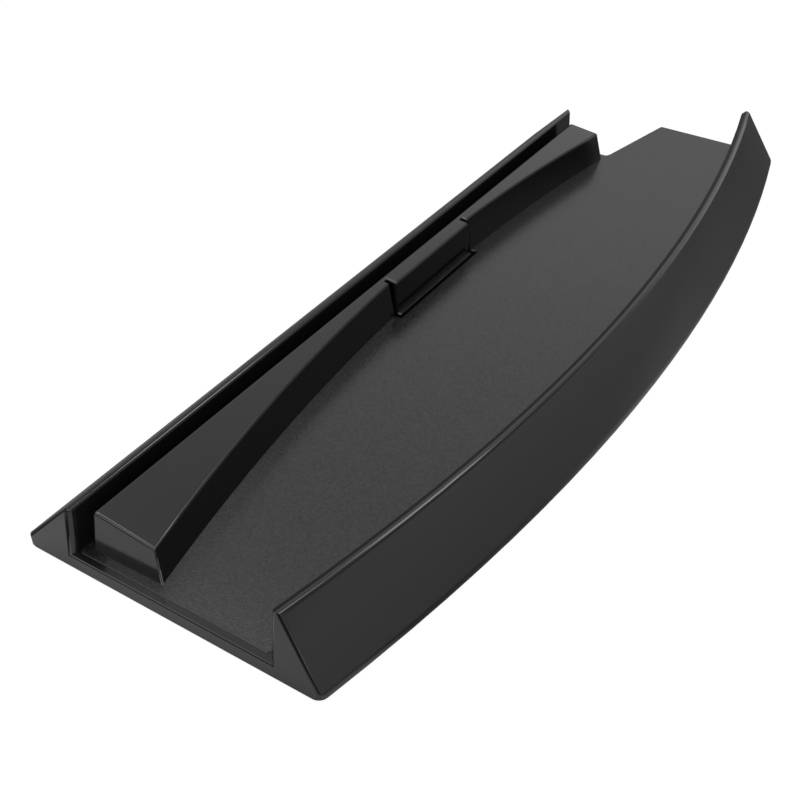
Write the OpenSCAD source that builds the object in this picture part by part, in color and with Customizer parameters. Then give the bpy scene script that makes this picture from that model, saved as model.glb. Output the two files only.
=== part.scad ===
/* [Footprint] */
// Length along the bowed wall, end to end on the ground
body_l = 285; // [240:1:330]
// Width from the straight wall's foot to the widest point of the bowed wall's foot
body_w = 99.4; // [90:0.2:120]
// Plan radius of the bowed wall's top outer edge
bow_r = 640.4; // [420:0.1:1200]
// How far the bow's widest point lies from mid-length, towards the near end
bow_shift = 4.5; // [0:0.5:12]
// Plan radius of the footprint's corners at the foot of the bowed wall
bow_corner = 2.6; // [1:0.2:4]
// Plan radius of the footprint's corners at the foot of the straight wall
wall_corner = 3.8; // [1:0.2:5]
// Lean of the end faces from upright, in degrees
end_lean = 7; // [2:0.5:12]
// Length of the straight wall's foot, shorter than the bowed wall's
rear_l = 255.5; // [215:0.5:262]
// How far short of that foot the floor stops behind the far block
notch_back = 4.8; // [2:0.2:7]
// Width of the plate that ends there
notch_w = 32.4; // [28:0.2:36]
// How far the notch's side slants across the plate on its way to the far end
notch_slant = 7; // [2:0.5:12]
// Corner radius where that side meets the far edge
notch_corner = 1.5; // [0.5:0.25:3]

/* [Walls] */
// Thickness of the moulded skin
skin = 2; // [1.6:0.1:2.4]
// Height of the bowed wall above the rim
front_h = 18.3; // [14:0.1:24]
// Horizontal run of the bowed wall's sloping face
front_run = 11.3; // [9:0.1:14]
// Thickness of the bowed wall at the top
front_top = 2.4; // [2.2:0.1:3]
// Edge radius of the bowed wall's top on its outer side
front_round = 1.4; // [0.5:0.1:2]
// Fall of the bowed wall's top towards its inner side
front_fall = 1; // [0:0.1:1.1]
// Draft of the bowed wall's inner face, in degrees
front_draft = 3; // [0.5:0.25:4]
// Height of the straight wall above the rim
rear_h = 15.9; // [12:0.1:20]
// Horizontal run of the straight wall's sloping face
rear_run = 14.2; // [11:0.1:16]
// Thickness of the straight wall at the top
wall_top = 1.6; // [1.4:0.1:2.6]
// Height of the upright skirt below the sloping faces
skirt_h = 1.2; // [1:0.1:2]
// Edge radius between the skirt and the sloping faces
skirt_round = 2.4; // [0.4:0.1:2.4]
// Draft of the straight wall's inner face, in degrees
wall_draft = 1; // [0.5:0.25:2]
// Edge radius of the straight wall's top, and of the bowed wall's inner edge
top_round = 0.8; // [0.3:0.05:0.9]
// Mitre across the inner corner of each wall's far tip and of the bowed wall's near one
tip_mitre = 1.8; // [0.5:0.1:2]
// Mitre across the inner corner of the straight wall's near tip
near_mitre = 1; // [0.4:0.1:1.6]
// Edge radius between the end faces and the sloping faces
end_round = 1.2; // [0.5:0.1:1.6]

/* [Floor] */
// Height of the floor above the rim
floor_h = 3.4; // [3:0.1:5]
// Width of the smooth sill along the near edge
sill_w = 2.3; // [1:0.1:3]
// Step from the sill up to the floor
sill_drop = 0.15; // [0.1:0.05:0.6]

/* [Blocks] */
// Gap between the straight wall and the blocks, at the top
channel_w = 2.8; // [2:0.1:4]
// Height of the blocks' straight top edge above the rim
block_h = 14.2; // [11:0.1:15.5]
// Slope of the blocks' tops down towards the floor side, in degrees
block_tilt = 6.6; // [3:0.2:8]
// Width of the ridge at its waist, at the top
waist_w = 3.2; // [2.8:0.1:4]
// Plan radius of the blocks' hollow front faces
block_r = 645; // [450:5:900]
// How far the waist lies from mid-length, towards the far end
waist_shift = 1.6; // [0:0.2:5]
// Draft of the blocks' front faces, in degrees
block_draft = 11; // [4:0.5:14]
// Near end of the blocks at the top, from the near edge of the stand
block_near = 6.2; // [4.5:0.1:10]
// Draft of the near end face, in degrees
near_draft = 9; // [3:0.5:12]
// Far end of the blocks at the top, back from the straight wall's foot
block_far = 9; // [7:0.1:14]
// Draft of the far end face, in degrees
far_draft = 9; // [3:0.5:14]
// Edge radius of the blocks' tops
block_round = 0.9; // [0.4:0.05:1.1]
// Plan radius of the far block's free corner
block_corner = 1.6; // [1:0.1:4]
// Half-length of the ridge's middle stretch, which is too slim to core
solid_waist = 46; // [40:1:60]

/* [Latch] */
// Length of the latch tongue
latch_l = 41.4; // [30:0.2:50]
// How far the tongue's middle lies from mid-length, towards the far end
latch_shift = 1.2; // [0:0.2:5]
// Width of the tongue's top, from the ridge's straight edge to its own front edge
latch_w = 5.1; // [4.8:0.1:6]
// Wall of the tongue
latch_wall = 1.5; // [1.2:0.1:1.6]
// Width of the slots at the tongue's two ends
end_slot = 1.5; // [1:0.1:2.2]
// Ridge left standing behind the end slots
slot_stop = 1.6; // [1.2:0.1:2]
// Width of the ledge along the tongue's toe
toe_w = 1.3; // [0.6:0.1:2]
// Width of the slot in the floor beyond the toe
toe_slot = 0.9; // [0.8:0.1:1.6]
// Lean of the tongue's front face, as the run from its top to its toe
toe_run = 0.3; // [0.1:0.1:0.8]

/* [Underside] */
// Spacing of the crosswise ribs
rib_pitch = 30; // [22:1:45]
// Thickness of the ribs
rib_t = 1.2; // [0.8:0.1:1.6]
// Height of the ribs' lower edges above the rim
rib_lift = 0.3; // [0.1:0.1:0.6]
// Spacing of the long ribs under the floor
long_pitch = 15; // [10:0.5:20]
// Long ribs under the floor
long_ribs = 3; // [1:1:3]

/* [Feet] */
// Diameter of the rubber feet
foot_d = 12; // [9:0.5:14]
// How far the feet stand proud of the rim
foot_proud = 0.7; // [0.4:0.1:1.5]
// Clearance round a foot in its seat
foot_gap = 0.2; // [0.1:0.05:0.5]
// Edge radius of a foot's tread
foot_round = 0.4; // [0.2:0.05:0.7]
// Wall of the ring round a foot's seat
seat_t = 1.2; // [0.8:0.1:1.6]
// Near feet, in from the near edge
foot_near_y = 20; // [14:1:34]
// Far foot under the bowed side, in from the far edge
foot_far_y = 20; // [14:1:34]
// Far foot under the far block, in from the straight wall's end
foot_block_y = 19; // [14:1:34]
// Feet on the bowed side, from the widest point of its foot
foot_front_x = 39; // [32:0.5:46]
// Feet on the straight side, from its foot
foot_rear_x = 26.5; // [20:0.5:30]

/* [Hidden] */
$fn = 64;
bow_steps = 720;
round_steps = 4;
reach = 400;
edge_reach = 24;
sweep_spare = 5;
below = 1;
whisker = 0.03;

near_y = -body_l / 2;
far_y = body_l / 2;
rear_end_y = near_y + rear_l;
notch_y = rear_end_y - notch_back;
rear_x = -body_w / 2;
front_x = body_w / 2;
foot_r = bow_r + front_run;
bow_x = front_x - foot_r;
bow_y = -bow_shift;
floor_under = floor_h - skin;

ridge_x = rear_x + rear_run + wall_top + channel_w;
waist_y = waist_shift;
ridge_depth = block_h - floor_under + 2 * below;
block_y0 = near_y + block_near;
block_y1 = rear_end_y - block_far;

latch_y = latch_shift;
latch_front = ridge_x + latch_w;
latch_top = block_h - latch_w * tan(block_tilt);
toe_x = latch_front + toe_run + toe_w;

seat_r = foot_d / 2 + foot_gap;
foot_h = foot_proud + floor_under;
FEET = [
    [rear_x + foot_rear_x, near_y + foot_near_y],
    [front_x - foot_front_x, near_y + foot_near_y],
    [rear_x + foot_rear_x, rear_end_y - foot_block_y],
    [front_x - foot_front_x, far_y - foot_far_y]
];

function unit(v) = v / norm(v);
function flat(p) = [p[0], p[1]];
function turn(a) = a > 180 ? a - 360 : a < -180 ? a + 360 : a;
function heading(v) = atan2(v[1], v[0]);

// Points of the arc of radius r in the corner at p, between its neighbours a and b
function arc_at(a, p, b, r) =
    let (
        u = unit(a - p),
        w = unit(b - p),
        half = acos(u * w) / 2,
        centre = p + unit(u + w) * r / sin(half),
        start = heading(p + u * r / tan(half) - centre),
        sweep = turn(heading(p + w * r / tan(half) - centre) - start)
    )
    [for (i = [0:round_steps])
        let (a = start + sweep * i / round_steps)
        centre + r * [cos(a), sin(a)]];

// Outline with an arc at each corner given as [x, y, radius]
function rounded(pts) =
    let (n = len(pts))
    [for (i = [0:n - 1])
        each (pts[i][2] > 0
            ? arc_at(flat(pts[(i + n - 1) % n]), flat(pts[i]), flat(pts[(i + 1) % n]), pts[i][2])
            : [flat(pts[i])])];

// X of the circle of radius r about the bow's axis
function bow_at(r, y) = bow_x + sqrt(r * r - (y - bow_y) * (y - bow_y));

// X of the ridge's front foot on the floor
function ridge_foot(y) =
    ridge_x + waist_w + (block_h - floor_h) * tan(block_draft)
    + block_r - sqrt(block_r * block_r - (y - waist_y) * (y - waist_y));

// Section of a wall, with its foot at 0 and its inner face at run + top
function wall_section(run, h, top, fall, draft, r) =
    let (side = run + top)
    rounded([
        [0, 0, 0],
        [0, skirt_h, skirt_round],
        [run, h, r],
        [side, h - fall, top_round],
        [side + (h - floor_under) * tan(draft), floor_under, 0],
        [side, 0, 0]
    ]);

// Section of the hollow in a wall, one skin inside its faces
function wall_hollow(run, h, top, draft) =
    let (
        slope = atan2(h - skirt_h, run),
        back = run + top - skin,
        tip_x = back - skin / 2,
        rise = tan(slope),
        shift = skin / sin(slope)
    )
    [
        [skin, -below],
        [skin, skirt_h + rise * (skin - shift)],
        [tip_x, skirt_h + rise * (tip_x - shift)],
        [back, skirt_h + rise * (tip_x - shift)],
        [back + h * tan(draft), -below]
    ];

module along_y(y0, y1) {
    translate([0, y1, 0])
        rotate([90, 0, 0])
            linear_extrude(y1 - y0)
                children();
}

module straight_wall(section) {
    translate([rear_x, 0, 0])
        along_y(near_y - below, rear_end_y + below)
            polygon(section);
}

// The section is turned about the bow's axis, with its foot outwards
module bowed_wall(section) {
    half = asin((body_l / 2 + bow_shift + sweep_spare) / bow_r);
    translate([bow_x, bow_y, 0])
        rotate([0, 0, -half])
            rotate_extrude(angle = 2 * half, $fn = bow_steps)
                translate([foot_r, 0])
                    mirror([1, 0])
                        polygon(section);
}

// Outline of the floor plate, drawn in from the stand's edges by inset
module plate_outline(inset, near_in) {
    wall_x = rear_x + rear_run / 2 + inset;
    side_x = rear_x + notch_w + inset;
    intersection() {
        polygon(rounded([
            [wall_x, near_y + near_in, 0],
            [front_x, near_y + near_in, 0],
            [front_x, far_y - inset, 0],
            [side_x + notch_slant, far_y - inset, notch_corner],
            [side_x, notch_y - inset, notch_corner],
            [wall_x, notch_y - inset, 0]
        ]));
        translate([bow_x, bow_y])
            circle(foot_r - front_run / 2 - inset, $fn = bow_steps);
    }
}

// Plate with its smooth sill along the near edge, one step below the floor
module plate() {
    linear_extrude(floor_h - sill_drop)
        plate_outline(0, 0);
    translate([0, 0, floor_under])
        linear_extrude(skin)
            plate_outline(0, sill_w);
}

// Local frame of the blocks' tops: x down the slope, z out of the face
module on_block_top() {
    translate([ridge_x, 0, block_h])
        rotate([0, block_tilt, 0])
            children();
}

// Straight face along the channel, and the top
module ridge_side(inset, r) {
    lean = block_tilt - wall_draft;
    along_y(near_y, rear_end_y)
        polygon(rounded([
            [inset, -inset, r],
            [inset + ridge_depth * sin(lean), -ridge_depth * cos(lean), 0],
            [body_w / 2, -ridge_depth, 0],
            [body_w / 2, -inset, 0]
        ]));
}

// Hollow front face, turned about a line square to the sloping top
module ridge_front(inset, r) {
    edge_r = block_r + inset;
    half = asin((body_l / 2 + waist_shift + sweep_spare) / block_r);
    translate([waist_w + block_r, waist_y, 0])
        rotate([0, 0, 180 - half])
            rotate_extrude(angle = 2 * half, $fn = bow_steps)
                polygon(rounded([
                    [edge_r, whisker, r],
                    [edge_r - ridge_depth * tan(block_tilt + block_draft), -ridge_depth, 0],
                    [edge_r + body_w / 2, -ridge_depth, 0],
                    [edge_r + body_w / 2, whisker, 0]
                ]));
}

// The two end faces, each with its own draft
module ridge_ends(inset, r) {
    y0 = block_y0 + inset;
    y1 = block_y1 - inset;
    translate([-skin, 0, 0])
        rotate([90, 0, 90])
            linear_extrude(body_w / 2)
                polygon(rounded([
                    [y0 - ridge_depth * tan(near_draft), -ridge_depth, 0],
                    [y1 + ridge_depth * tan(far_draft), -ridge_depth, 0],
                    [y1, whisker, r],
                    [y0, whisker, r]
                ]));
}

// Round along the leaning edge of the far block's free corner
module block_corner_cut() {
    lean = block_tilt + block_draft;
    a = asin((block_y1 - waist_y) / block_r);
    edge_round(
        [waist_w + block_r - block_r * cos(a), block_y1, 0],
        [cos(lean) * cos(a), -cos(lean) * sin(a), sin(lean)],
        [0, cos(far_draft), sin(far_draft)],
        block_corner
    );
}

module blocks() {
    intersection() {
        on_block_top()
            difference() {
                intersection() {
                    ridge_side(0, block_round);
                    ridge_front(0, block_round);
                    ridge_ends(0, block_round);
                }
                block_corner_cut();
            }
        translate([rear_x, near_y, floor_under])
            cube([body_w, body_l, reach]);
    }
}

// Cores of the two blocks, which stop where the ridge grows too slim
module block_hollows() {
    difference() {
        on_block_top()
            intersection() {
                ridge_side(skin, 0);
                ridge_front(skin, 0);
                ridge_ends(skin, 0);
            }
        translate([rear_x, waist_y - solid_waist, -reach / 2])
            cube([body_w, 2 * solid_waist, reach]);
    }
}

// Tongue that stands proud of the ridge, with a ledge along its toe
module latch() {
    along_y(latch_y - latch_l / 2 - end_slot / 2, latch_y + latch_l / 2 + end_slot / 2)
        polygon(rounded([
            [ridge_x + slot_stop / 2, floor_under, 0],
            [toe_x, floor_under, 0],
            [toe_x, floor_h, 0],
            [latch_front + toe_run, floor_h, 0],
            [latch_front, latch_top, block_round],
            [ridge_x + slot_stop / 2, block_h - slot_stop / 2 * tan(block_tilt), 0]
        ]));
}

module latch_hollow() {
    along_y(latch_y - latch_l / 2 - end_slot / 2, latch_y + latch_l / 2 + end_slot / 2)
        polygon([
            [ridge_x + latch_wall, -below],
            [latch_front - latch_wall, -below],
            [latch_front - latch_wall, latch_top - latch_wall],
            [ridge_x + latch_wall, latch_top - latch_wall]
        ]);
}

// Slots that free the tongue: one across each end, and one along its toe in the floor
module latch_slots() {
    for (side = [-1, 1])
        translate([ridge_x + slot_stop, latch_y + side * (latch_l + end_slot) / 2 - end_slot / 2, -below])
            cube([latch_w - slot_stop + toe_run + toe_w + toe_slot, end_slot, block_h + 2 * below]);
    translate([toe_x, latch_y - latch_l / 2 - end_slot / 2, -below])
        cube([toe_slot, latch_l + end_slot, floor_h + 2 * below]);
}

// All that lies past the leaning end faces
module past_the_ends(inset) {
    translate([0, near_y + inset, 0])
        rotate([-end_lean, 0, 0])
            translate([-reach / 2, -reach, -reach / 4])
                cube([reach, reach, reach / 2]);
    translate([0, far_y - inset, 0])
        rotate([end_lean, 0, 0])
            translate([-reach / 2, 0, -reach / 4])
                cube([reach, reach, reach / 2]);
}

// All that lies past the far end of the straight wall
module past_the_straight_wall(inset) {
    translate([rear_x - below, rear_end_y - inset, 0])
        rotate([end_lean, 0, 0])
            translate([0, 0, -reach / 4])
                cube([notch_w, reach, reach / 2]);
}

// Corner cut of size m above z0, leaning with the end face at y. Along X the wall lies on the side dx.
module mitre(x, y, dx, m, z0) {
    side = y < 0 ? -1 : 1;
    intersection() {
        translate([x, y, 0])
            rotate([side * end_lean, 0, 0])
                linear_extrude(reach / 4, center = true)
                    polygon([
                        [dx * (m + below), side * below],
                        [-dx * below, side * below],
                        [-dx * below, -side * (m + below)]
                    ]);
        translate([x - reach / 2, y - reach / 2, z0])
            cube(reach);
    }
}

// Mitres across the inner corners of the walls' ends
module mitres() {
    wall_x = rear_x + rear_run + wall_top;
    inner_r = foot_r - front_run - front_top;
    mitre(wall_x, near_y, -1, near_mitre, floor_h - sill_drop);
    mitre(wall_x, rear_end_y, -1, tip_mitre, floor_h);
    mitre(bow_at(inner_r, near_y), near_y, 1, tip_mitre, floor_h - sill_drop);
    mitre(bow_at(inner_r, far_y), far_y, 1, tip_mitre, floor_h);
}

// Slabs whose faces touch a round of radius r along the edge at p between two faces
module edge_round(p, n1, n2, r) {
    axis = p - r * (n1 + n2) / (1 + n1 * n2);
    for (i = [1:round_steps - 1]) {
        n = unit(n1 * (round_steps - i) + n2 * i);
        translate(axis + r * n)
            rotate([0, acos(n[2]), heading(n)])
                translate([-edge_reach, -edge_reach, 0])
                    cube([2 * edge_reach, 2 * edge_reach, edge_reach]);
    }
}

function end_normal(side) = [0, side * cos(end_lean), sin(end_lean)];

// The straight wall with its slanting end edges rounded
module straight_wall_outer() {
    slope = atan2(rear_h - skirt_h, rear_run);
    rise = skirt_h * tan(end_lean);
    difference() {
        straight_wall(wall_section(rear_run, rear_h, wall_top, 0, wall_draft, top_round));
        edge_round([rear_x, near_y + rise, skirt_h], end_normal(-1), [-sin(slope), 0, cos(slope)], end_round);
        edge_round([rear_x, rear_end_y - rise, skirt_h], end_normal(1), [-sin(slope), 0, cos(slope)], end_round);
    }
}

// The bowed wall with its slanting end edges rounded
module bowed_wall_outer() {
    slope = atan2(front_h - skirt_h, front_run);
    difference() {
        bowed_wall(wall_section(front_run, front_h, front_top, front_fall, front_draft, front_round));
        for (side = [-1, 1]) {
            y = side * (body_l / 2 - skirt_h * tan(end_lean));
            a = asin((y - bow_y) / foot_r);
            bow_normal = [sin(slope) * cos(a), sin(slope) * sin(a), cos(slope)];
            edge_round([bow_at(foot_r, y), y, skirt_h], end_normal(side), bow_normal, end_round);
        }
    }
}

// Upright prism that rounds the corners of the footprint
module footprint_guard() {
    x0 = rear_x - whisker;
    y0 = near_y - whisker;
    y1 = far_y + whisker;
    margin = 0.3;
    bow_pts = 12;
    linear_extrude(reach, center = true)
        polygon(rounded(concat(
            [[x0, y0, wall_corner], [bow_at(foot_r, near_y) + whisker, y0, bow_corner]],
            [for (i = [1:bow_pts - 1])
                let (y = near_y + body_l * i / bow_pts)
                [bow_at(foot_r, y) + margin, y, 0]],
            [
                [bow_at(foot_r, far_y) + whisker, y1, bow_corner],
                [rear_x + notch_w - below, y1, 0],
                [rear_x + notch_w - below, rear_end_y + whisker, 0],
                [x0, rear_end_y + whisker, wall_corner]
            ]
        )));
}

module outer() {
    difference() {
        intersection() {
            union() {
                plate();
                straight_wall_outer();
                bowed_wall_outer();
                blocks();
                latch();
            }
            footprint_guard();
        }
        past_the_ends(0);
        past_the_straight_wall(0);
        mitres();
    }
}

module hollow() {
    difference() {
        union() {
            translate([0, 0, -below])
                linear_extrude(floor_under + below)
                    plate_outline(skin, skin);
            straight_wall(wall_hollow(rear_run, rear_h, wall_top, wall_draft));
            bowed_wall(wall_hollow(front_run, front_h, front_top, front_draft));
            block_hollows();
            latch_hollow();
        }
        past_the_ends(skin);
        past_the_straight_wall(skin);
    }
}

// Crosswise ribs, long ribs under the floor, and a rib round the latch's slots
module ribs() {
    keep_x = toe_x + toe_slot + rib_t;
    keep_l = latch_l + 2 * end_slot + 2 * rib_t;
    difference() {
        union() {
            for (y = [near_y + rib_pitch : rib_pitch : far_y - skin])
                translate([rear_x, y - rib_t / 2, rib_lift])
                    cube([body_w, rib_t, reach]);
            for (i = [1:long_ribs])
                translate([ridge_foot(waist_y) + i * long_pitch, near_y, rib_lift])
                    cube([rib_t, body_l, reach]);
            translate([ridge_x - channel_w, latch_y - keep_l / 2, rib_lift])
                cube([keep_x + rib_t - ridge_x + channel_w, keep_l, reach]);
        }
        translate([ridge_x - channel_w - rib_t, latch_y - keep_l / 2 + rib_t, -below])
            cube([keep_x - ridge_x + channel_w + rib_t, keep_l - 2 * rib_t, reach]);
    }
}

// Ring round each foot's seat. Under a block, crossed ribs inside it carry the foot.
module seats() {
    for (p = FEET)
        translate([p[0], p[1], rib_lift]) {
            difference() {
                cylinder(r = seat_r + seat_t, h = reach);
                translate([0, 0, -below])
                    cylinder(r = seat_r, h = reach + 2 * below);
            }
            for (a = [45, 135])
                rotate([0, 0, a])
                    translate([-seat_r - seat_t / 2, -rib_t / 2, 0])
                        cube([2 * seat_r + seat_t, rib_t, reach]);
        }
}

module seat_pockets() {
    for (p = FEET)
        translate([p[0], p[1], -below])
            cylinder(r = seat_r, h = floor_under + below);
}

module stand_body() {
    color("#202022")
        translate([0, 0, foot_proud])
            difference() {
                outer();
                difference() {
                    hollow();
                    ribs();
                    seats();
                }
                seat_pockets();
                latch_slots();
            }
}

module foot(i) {
    color("#2c2c2c")
        translate([FEET[i][0], FEET[i][1], 0])
            rotate_extrude()
                polygon(rounded([
                    [0, 0, 0],
                    [foot_d / 2, 0, foot_round],
                    [foot_d / 2, foot_h, 0],
                    [0, foot_h, 0]
                ]));
}

stand_body();
foot(0);  // foot_near_left
foot(1);  // foot_near_right
foot(2);  // foot_far_left
foot(3);  // foot_far_right
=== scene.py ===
import math

import bmesh
import bpy
import numpy as np
from mathutils import Matrix, Vector


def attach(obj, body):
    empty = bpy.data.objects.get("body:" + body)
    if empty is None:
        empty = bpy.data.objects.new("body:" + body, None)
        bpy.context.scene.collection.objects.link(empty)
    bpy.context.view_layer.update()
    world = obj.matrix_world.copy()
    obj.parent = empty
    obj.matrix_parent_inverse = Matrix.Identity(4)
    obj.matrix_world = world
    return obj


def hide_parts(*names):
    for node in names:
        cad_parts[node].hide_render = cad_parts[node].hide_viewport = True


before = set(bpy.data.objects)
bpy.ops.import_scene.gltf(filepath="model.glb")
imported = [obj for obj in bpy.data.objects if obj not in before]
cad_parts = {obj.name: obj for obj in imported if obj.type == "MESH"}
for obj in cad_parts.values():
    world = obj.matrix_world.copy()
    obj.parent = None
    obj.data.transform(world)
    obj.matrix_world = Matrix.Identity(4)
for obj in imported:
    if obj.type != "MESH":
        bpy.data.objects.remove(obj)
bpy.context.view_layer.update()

# Housing: the whole stand, with its floor, both walls, the two blocks and the latch tongue.
# One injection moulding in black ABS, polished in the mould but for the spark-eroded grain on its floor.
# It lies on four rubber feet. Its edges have the small radii that a cut steel mould leaves.
MM = 0.001
scene = bpy.context.scene


def linear(hex_colour):
    """sRGB hex colour as linear red, green, blue and alpha 1."""
    c = np.array([int(hex_colour[i:i + 2], 16) for i in (1, 3, 5)]) / 255.0
    return (*np.where(c <= 0.04045, c / 12.92, ((c + 0.055) / 1.055) ** 2.4), 1.0)


def add(tree, kind, links=None, sockets=None, **settings):
    """Adds a node with its settings, the values of its sockets, and links from other nodes' sockets."""
    node = tree.nodes.new(kind)
    for key, value in settings.items():
        setattr(node, key, value)
    for key, value in (sockets or {}).items():
        node.inputs[key].default_value = value
    for key, source in (links or {}).items():
        tree.links.new(source, node.inputs[key])
    return node


def new_tree(owner):
    """Empty node tree of a material or world."""
    owner.use_nodes = True
    owner.node_tree.nodes.clear()
    return owner.node_tree


def put(name, data):
    """New object in the scene that shows the given data."""
    thing = bpy.data.objects.new(name, data)
    scene.collection.objects.link(thing)
    return thing


# Black ABS as it leaves a polished mould: almost no colour of its own, with clean soft-edged reflections.
smooth_abs = bpy.data.materials.new("moulded_black_abs")
tree = new_tree(smooth_abs)
shader = add(tree, "ShaderNodeBsdfPrincipled", sockets={
    "Base Color": linear("#0f0f10"), "Roughness": 0.13, "IOR": 1.5})
add(tree, "ShaderNodeOutputMaterial", {"Surface": shader.outputs["BSDF"]})

# The same plastic with the mould's fine spark-eroded grain. Its pits are painted darker than its peaks, as
# painted shade in the grain's hollows.
grained_abs = bpy.data.materials.new("grained_black_abs")
pit_to_pit, pit_depth = 0.55 * MM, 0.03 * MM
tree = new_tree(grained_abs)
place = add(tree, "ShaderNodeTexCoord").outputs["Object"]
pits = add(tree, "ShaderNodeTexNoise", {"Vector": place}, {
    "Scale": 1 / pit_to_pit, "Detail": 1.0, "Roughness": 0.5}).outputs["Fac"]
bump = add(tree, "ShaderNodeBump", {"Height": pits}, {"Strength": 1.0, "Distance": pit_depth})
height = add(tree, "ShaderNodeMapRange", {"Value": pits}, {"From Min": 0.3, "From Max": 0.7})
painted_pit_shade = add(tree, "ShaderNodeMix", {0: height.outputs["Result"]}, {
    6: linear("#040404"), 7: linear("#1c1c1c")}, data_type="RGBA")
shader = add(tree, "ShaderNodeBsdfPrincipled", {
    "Normal": bump.outputs["Normal"], "Base Color": painted_pit_shade.outputs[2]}, {"Roughness": 0.25, "IOR": 1.5})
add(tree, "ShaderNodeOutputMaterial", {"Surface": shader.outputs["BSDF"]})

# The housing's own mesh, with its double points welded and its flat faces joined across their triangles.
weld, flat = 0.001 * MM, math.radians(0.05)
housing_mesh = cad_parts["stand_body"].data.copy()
bm = bmesh.new()
bm.from_mesh(housing_mesh)
bmesh.ops.remove_doubles(bm, verts=bm.verts, dist=weld)
bmesh.ops.dissolve_limit(bm, angle_limit=flat, verts=bm.verts, edges=bm.edges)

# Outer edges above the skirt get the radius. Where a face beside the edge is narrow there is no room for it,
# so a long edge gets the small radius there and a short edge stays sharp.
crease = math.radians(32)
skirt_top = 1.5 * MM
radius, small_radius = 0.4 * MM, 0.1 * MM
narrow, long_edge = 1.4 * MM, 20 * MM


def width_across(face, edge):
    """How far a face reaches from the line of one of its edges."""
    start, end = (v.co for v in edge.verts)
    along = (end - start).normalized()
    return max((v.co - start).cross(along).length for v in face.verts)


radius_share = bm.edges.layers.float.new("bevel_weight_edge")
for edge in bm.edges:
    edge.smooth = not (edge.is_manifold and edge.calc_face_angle() > crease)
    if not edge.smooth and edge.is_convex and min(v.co.z for v in edge.verts) > skirt_top:
        if min(width_across(face, edge) for face in edge.link_faces) > narrow:
            edge[radius_share] = 1.0
        elif edge.calc_length() > long_edge:
            edge[radius_share] = small_radius / radius

# The top of the floor is grained, and all the rest is smooth.
floor_z, near_enough = 4.1 * MM, 0.01 * MM
level = 0.999
for face in bm.faces:
    face.smooth = True
    on_floor = face.normal.z > level and abs(face.calc_center_median().z - floor_z) < near_enough
    face.material_index = 1 if on_floor else 0
housing_mesh.materials.clear()
housing_mesh.materials.append(smooth_abs)
housing_mesh.materials.append(grained_abs)
bm.to_mesh(housing_mesh)
bm.free()
housing = put("housing", housing_mesh)
small_radii = housing.modifiers.new("small_radii", "BEVEL")
small_radii.limit_method = "WEIGHT"
small_radii.width = radius
small_radii.segments = 2
small_radii.use_clamp_overlap = False
face_normals = housing.modifiers.new("face_normals", "WEIGHTED_NORMAL")
face_normals.keep_sharp = True
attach(housing, "root")
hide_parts("stand_body")

# Feet: four black rubber pads, glued into the round seats in the housing's underside.
# Each is punched from sheet, with its tread's edge broken, and has a fine dull surface.
rubber = bpy.data.materials.new("foot_rubber")
speck, speck_depth = 0.8 * MM, 0.03 * MM
tree = new_tree(rubber)
place = add(tree, "ShaderNodeTexCoord").outputs["Object"]
specks = add(tree, "ShaderNodeTexNoise", {"Vector": place}, {"Scale": 1 / speck, "Detail": 3.0})
bump = add(tree, "ShaderNodeBump", {"Height": specks.outputs["Fac"]}, {
    "Strength": 0.4, "Distance": speck_depth})
shader = add(tree, "ShaderNodeBsdfPrincipled", {"Normal": bump.outputs["Normal"]}, {
    "Base Color": linear("#1b1b1b"), "Roughness": 0.72, "IOR": 1.45})
add(tree, "ShaderNodeOutputMaterial", {"Surface": shader.outputs["BSDF"]})
for name in ("foot_near_left", "foot_near_right", "foot_far_left", "foot_far_right"):
    foot_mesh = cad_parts[name].data
    foot_mesh.materials.clear()
    foot_mesh.materials.append(rubber)

# Studio floor: a plain white sheet under the stand. The camera sees it white with the stand's faint shadow.
# The plastic mirrors a dimmer sheet with painted light and shade on it, brightest close in front of the near
# end and out to the right.
# It lies a hair below the feet, so that the two don't share one plane.
half, drop = 6.0, 0.05 * MM
corners = [(-half, -half, -drop), (half, -half, -drop), (half, half, -drop), (-half, half, -drop)]
floor_mesh = bpy.data.meshes.new("studio_floor")
floor_mesh.from_pydata(corners, [], [(0, 1, 2, 3)])
studio_floor = put("studio_floor", floor_mesh)


def set_greys(ramp, stops):
    """Gives a colour ramp its stops, each a position from 0 to 1 and a grey level."""
    elements = ramp.color_ramp.elements
    elements[0].position, elements[1].position = 0.0, 1.0
    for position, _ in stops[1:-1]:
        elements.new(position)
    for element, (_, grey) in zip(elements, stops):
        element.color = (grey, grey, grey, 1.0)


white_sheet = bpy.data.materials.new("white_studio_sheet")
tree = new_tree(white_sheet)
path = add(tree, "ShaderNodeLightPath").outputs
place = add(tree, "ShaderNodeTexCoord").outputs["Object"]
axes = add(tree, "ShaderNodeSeparateXYZ", {"Vector": place}).outputs

# The mirrored sheet's painted light and shade goes by the turn round a point under the stand: 0 is left, a
# quarter is in front, a half is right and three quarters is behind. Past the front edge it is painted dark.
pivot = (-0.01, -0.06, 0.0)
from_pivot = add(tree, "ShaderNodeVectorMath", {0: place}, {1: pivot}, operation="SUBTRACT")
turn = add(tree, "ShaderNodeTexGradient", {"Vector": from_pivot.outputs["Vector"]}, gradient_type="RADIAL")
round_stand = add(tree, "ShaderNodeValToRGB", {"Fac": turn.outputs["Fac"]})
set_greys(round_stand, [
    (0.0, 0.1), (0.167, 0.1), (0.176, 0.52), (0.35, 0.48), (0.37, 0.15), (0.50, 0.2), (0.60, 0.42),
    (0.646, 0.30), (0.671, 0.19), (0.693, 0.13), (0.71, 0.09), (1.0, 0.08)])
front_edge, lit_from = -0.18, -0.155
to_front = add(tree, "ShaderNodeMapRange", {"Value": axes["Y"]}, {
    "From Min": front_edge, "From Max": lit_from, "To Min": 0.08, "To Max": 1.0},
    interpolation_type="SMOOTHSTEP")
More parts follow.
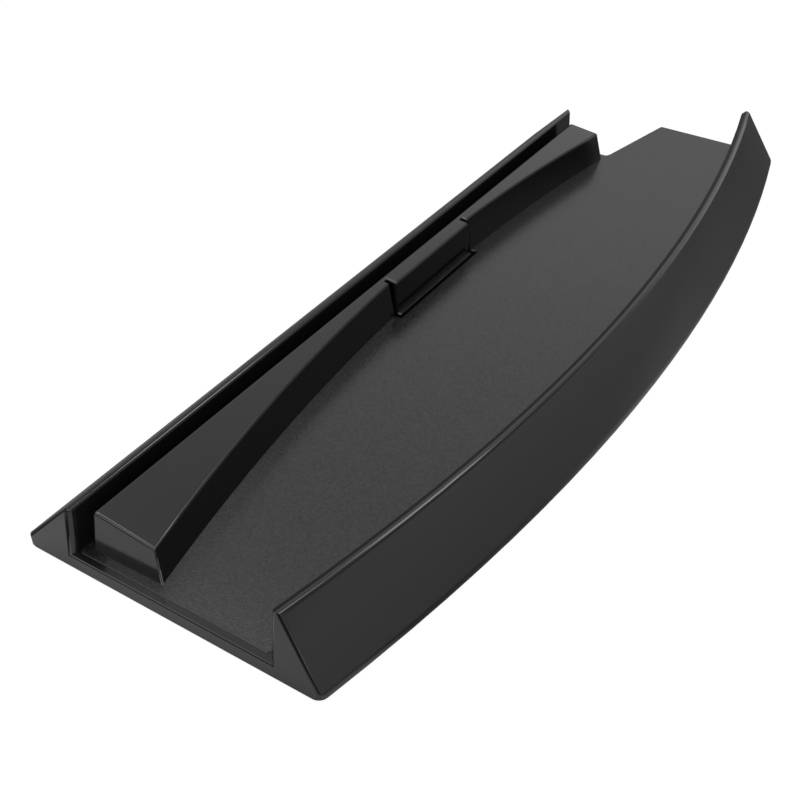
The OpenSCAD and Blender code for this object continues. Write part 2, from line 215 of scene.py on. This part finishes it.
mirrored = add(tree, "ShaderNodeVectorMath", {
    0: round_stand.outputs["Color"], 1: to_front.outputs["Result"]}, operation="MULTIPLY")

# Nearly all of what the camera sees is plain white, and the rest is lit paper that takes the shadow.
plain_share = 0.96
lit = add(tree, "ShaderNodeBsdfDiffuse", sockets={"Color": (0.9, 0.9, 0.9, 1.0)})
painted_mirror_sheet = add(tree, "ShaderNodeBsdfDiffuse", {"Color": mirrored.outputs["Vector"]})
white = add(tree, "ShaderNodeEmission")
seen = add(tree, "ShaderNodeMixShader", {
    1: lit.outputs["BSDF"], 2: white.outputs["Emission"]}, {"Fac": plain_share})
for_glossy = add(tree, "ShaderNodeMixShader", {
    "Fac": path["Is Glossy Ray"], 1: lit.outputs["BSDF"], 2: painted_mirror_sheet.outputs["BSDF"]})
for_camera = add(tree, "ShaderNodeMixShader", {
    "Fac": path["Is Camera Ray"], 1: for_glossy.outputs["Shader"], 2: seen.outputs["Shader"]})
add(tree, "ShaderNodeOutputMaterial", {"Surface": for_camera.outputs["Shader"]})
floor_mesh.materials.append(white_sheet)

# Surroundings: a light tent round the stand, with a soft bright band behind it and its brightest side at
# the camera. Its brightness goes by height, on each of its four sides in its own way. The camera sees
# plain white.
tent = bpy.data.worlds.new("light_tent")
scene.world = tent
tree = new_tree(tent)
direction = add(tree, "ShaderNodeTexCoord").outputs["Generated"]
axes = add(tree, "ShaderNodeSeparateXYZ", {"Vector": direction}).outputs
tent_side = {}
for side, stops in (
        ("left", [
            (0.0, 0.12), (0.20, 0.16), (0.31, 0.24), (0.37, 0.70), (0.44, 0.98), (0.55, 0.95), (0.68, 0.84),
            (0.79, 0.66), (1.0, 0.6)]),
        ("back", [
            (0.0, 0.25), (0.10, 0.4), (0.21, 0.95), (0.33, 1.4), (0.42, 1.3), (0.51, 0.86), (0.79, 0.70),
            (1.0, 0.6)]),
        ("right", [
            (0.0, 0.33), (0.12, 0.62), (0.17, 0.76), (0.28, 0.5), (0.4, 0.28), (0.6, 0.3), (0.79, 0.5),
            (1.0, 0.6)]),
        ("camera", [(0.0, 0.05), (0.12, 0.15), (0.3, 1.8), (0.75, 1.8), (1.0, 0.9)])):
    ramp = add(tree, "ShaderNodeValToRGB", {"Fac": axes["Z"]})
    set_greys(ramp, stops)
    tent_side[side] = ramp.outputs["Color"]

# The sides meet softly: left, back and right by the compass heading alone, and the camera's side by its y.
flat_dir = add(tree, "ShaderNodeVectorMath", {0: direction}, {1: (1.0, 1.0, 0.0)}, operation="MULTIPLY")
flat_dir = add(tree, "ShaderNodeVectorMath", {0: flat_dir.outputs["Vector"]}, operation="NORMALIZE")
heading = add(tree, "ShaderNodeSeparateXYZ", {"Vector": flat_dir.outputs["Vector"]}).outputs
past_left = add(tree, "ShaderNodeMapRange", {"Value": heading["X"]}, {
    "From Min": -0.3, "From Max": 0.05}, interpolation_type="SMOOTHSTEP")
past_back = add(tree, "ShaderNodeMapRange", {"Value": heading["X"]}, {
    "From Min": 0.32, "From Max": 0.55}, interpolation_type="SMOOTHSTEP")
past_camera = add(tree, "ShaderNodeMapRange", {"Value": axes["Y"]}, {
    "From Min": -0.45, "From Max": 0.1}, interpolation_type="SMOOTHSTEP")
beyond = add(tree, "ShaderNodeMix", {
    0: past_left.outputs["Result"], 6: tent_side["left"], 7: tent_side["back"]}, data_type="RGBA")
beyond = add(tree, "ShaderNodeMix", {
    0: past_back.outputs["Result"], 6: beyond.outputs[2], 7: tent_side["right"]}, data_type="RGBA")
all_round = add(tree, "ShaderNodeMix", {
    0: past_camera.outputs["Result"], 6: tent_side["camera"], 7: beyond.outputs[2]}, data_type="RGBA")
around = add(tree, "ShaderNodeBackground", {"Color": all_round.outputs[2]})
plain = add(tree, "ShaderNodeBackground", sockets={"Color": (1.0, 1.0, 1.0, 1.0)})
seen = add(tree, "ShaderNodeMixShader", {
    "Fac": add(tree, "ShaderNodeLightPath").outputs["Is Camera Ray"],
    1: around.outputs["Background"], 2: plain.outputs["Background"]})
add(tree, "ShaderNodeOutputWorld", {"Surface": seen.outputs["Shader"]})

# Lamps: a softbox a metre above the stand, and a strip light behind it and to the right. Both shine down.
# The strip draws the thin highlights on the blocks' long edges at the near end.
for name, place, length, width, watts in (
        ("softbox", (-0.175, -0.05, 1.0), 1.05, 0.76, 7.8),
        ("strip_light", (0.17, 0.58, 1.0), 0.66, 0.28, 2.4)):
    lamp_data = bpy.data.lights.new(name, "AREA")
    lamp_data.shape = "RECTANGLE"
    lamp_data.size, lamp_data.size_y = length, width
    lamp_data.energy = watts
    put(name, lamp_data).location = place

# Camera: fitted to the photo's edges and corners on an 800 by 800 picture.
# It stands off the near end, on the bowed wall's side, and looks down at 38 degrees.
focal_px, picture_px, sensor_mm = 1155.729, 800, 36.0
camera_place = Vector((126.01, -257.05, 193.42)) * MM
view_dir = Vector((-0.42076917, 0.66377894, -0.61834523))
right = Vector((0.84198134, 0.53947146, 0.00616162))
up = right.cross(view_dir)
camera_data = bpy.data.cameras.new("photo_camera")
camera_data.sensor_width = sensor_mm
camera_data.lens = focal_px / picture_px * sensor_mm
camera_data.clip_start, camera_data.clip_end = 0.01, 20.0
camera = put("photo_camera", camera_data)
camera.matrix_world = Matrix((
    (right.x, up.x, -view_dir.x, camera_place.x),
    (right.y, up.y, -view_dir.y, camera_place.y),
    (right.z, up.z, -view_dir.z, camera_place.z),
    (0, 0, 0, 1)))
scene.camera = camera
scene.view_settings.view_transform = "Standard"
